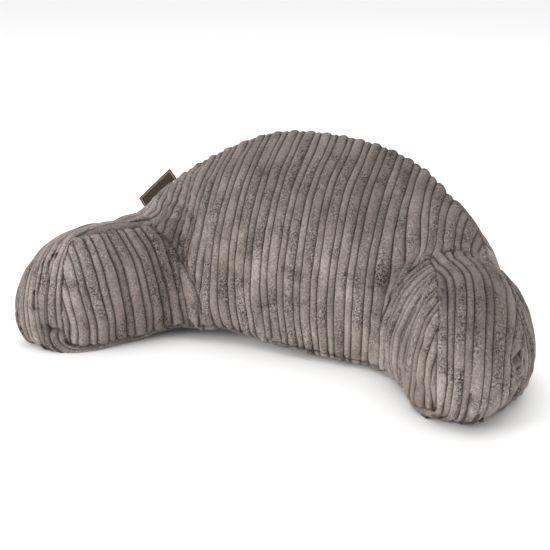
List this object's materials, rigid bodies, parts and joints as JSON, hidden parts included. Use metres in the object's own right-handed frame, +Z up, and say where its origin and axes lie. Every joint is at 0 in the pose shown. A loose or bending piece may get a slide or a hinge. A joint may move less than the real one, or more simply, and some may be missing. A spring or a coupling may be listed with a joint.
{
  "type": "reading pillow",
  "caption": "Backrest pillow with a leaning half-round back and short splayed arms, sewn from corded velour and filled.",
  "frame": {"origin": "on the resting surface, under the middle of the pillow's overall box", "axes": "+X towards the arm without the label, +Y away from the reader's back towards the rear, +Z up"},
  "size_m": [0.7294, 0.3524, 0.2932],
  "materials": {
    "cord_velour": "ribbed crushed pile",
    "woven_label": "woven tape, folded"
  },
  "bodies": {
    "root": {"cushion": "cord_velour", "side_label": "woven_label"}
  },
  "joints": []
}
